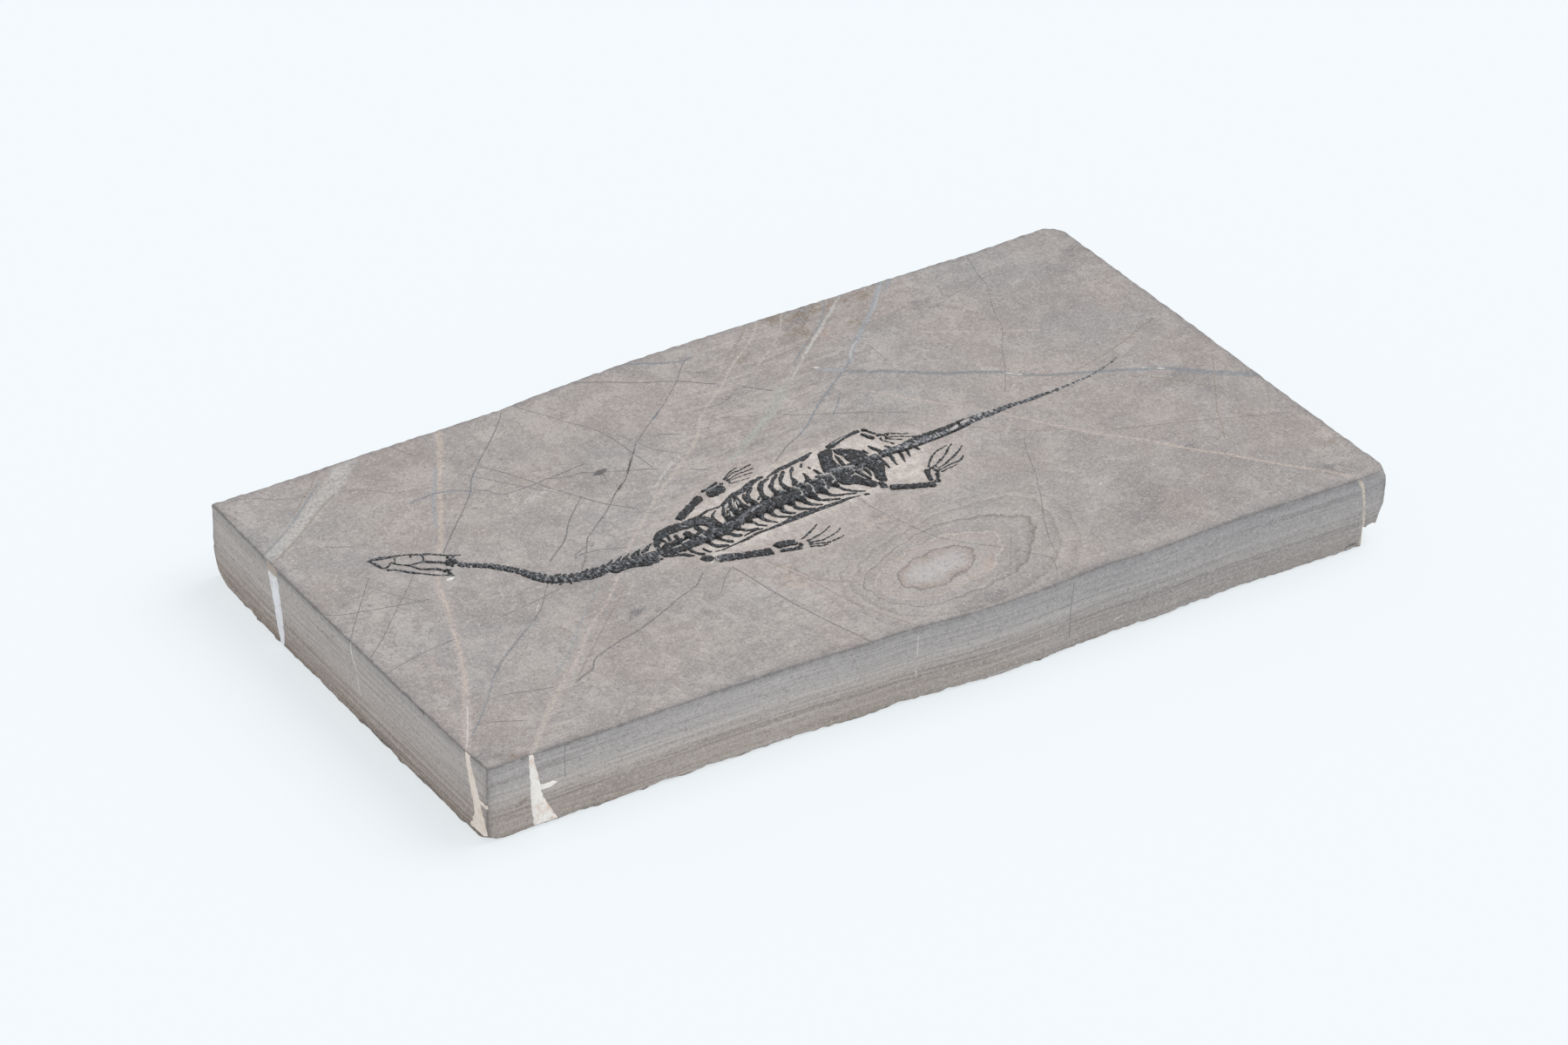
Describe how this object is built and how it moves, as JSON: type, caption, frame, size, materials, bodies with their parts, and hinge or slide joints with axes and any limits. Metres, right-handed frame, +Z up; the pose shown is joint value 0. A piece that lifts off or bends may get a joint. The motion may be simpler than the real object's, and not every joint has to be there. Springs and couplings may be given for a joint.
{
  "type": "fossil marine reptile",
  "caption": "Skeleton of a small long-necked marine reptile, seen from above and fixed on the bedding plane of a sawn rectangular limestone slab, to lie flat on a shelf or table.",
  "frame": {"origin": "on the surface the slab lies on, under the middle of its outline", "axes": "+X runs along the slab from the animal's head end to its tail end, +Y across the slab, +Z up out of the face with the bones"},
  "size_m": [0.291, 0.1613, 0.025],
  "materials": {
    "limestone": "scraped and sawn grey-brown muddy limestone with calcite veins, matt",
    "bone": "petrified bone, near black with a low gloss, patched with white calcite",
    "plaster": "chalky off-white repair plaster, scraped flush"
  },
  "bodies": {
    "root": {"slab": "limestone", "left_end_plaster": "plaster", "left_corner_plaster": "plaster", "near_face_plaster": "plaster", "skull": "bone", "lower_jaw": "bone", "neck_vertebrae": "bone", "back_vertebrae": "bone", "sacrum": "bone", "tail_vertebrae": "bone", "belly_rods_far_front": "bone", "belly_rods_far_rear": "bone", "belly_rods_near": "bone", "clavicle": "bone", "coracoid": "bone", "femur_far": "bone", "femur_near": "bone", "fibula_far": "bone", "fibula_near": "bone", "foot_far": "bone", "foot_near": "bone", "hand_far": "bone", "hand_near": "bone", "humerus_far": "bone", "humerus_near": "bone", "ilium_near": "bone", "ischium_far": "bone", "ischium_near": "bone", "pubis_far": "bone", "pubis_near": "bone", "radius_far": "bone", "radius_near": "bone", "rib_far_01": "bone", "rib_far_02": "bone", "rib_far_03": "bone", "rib_far_04": "bone", "rib_far_05": "bone", "rib_far_06": "bone", "rib_far_07": "bone", "rib_far_08": "bone", "rib_far_09": "bone", "rib_near_01": "bone", "rib_near_02": "bone", "rib_near_03": "bone", "rib_near_04": "bone", "rib_near_05": "bone", "rib_near_06": "bone", "rib_near_07": "bone", "rib_near_08": "bone", "rib_near_09": "bone", "rib_near_10": "bone", "rib_near_11": "bone", "rib_near_12": "bone", "rib_near_13": "bone", "rib_near_14": "bone", "shoulder_blade": "bone", "tibia_far": "bone", "tibia_near": "bone", "ulna_far": "bone", "ulna_near": "bone"}
  },
  "joints": []
}
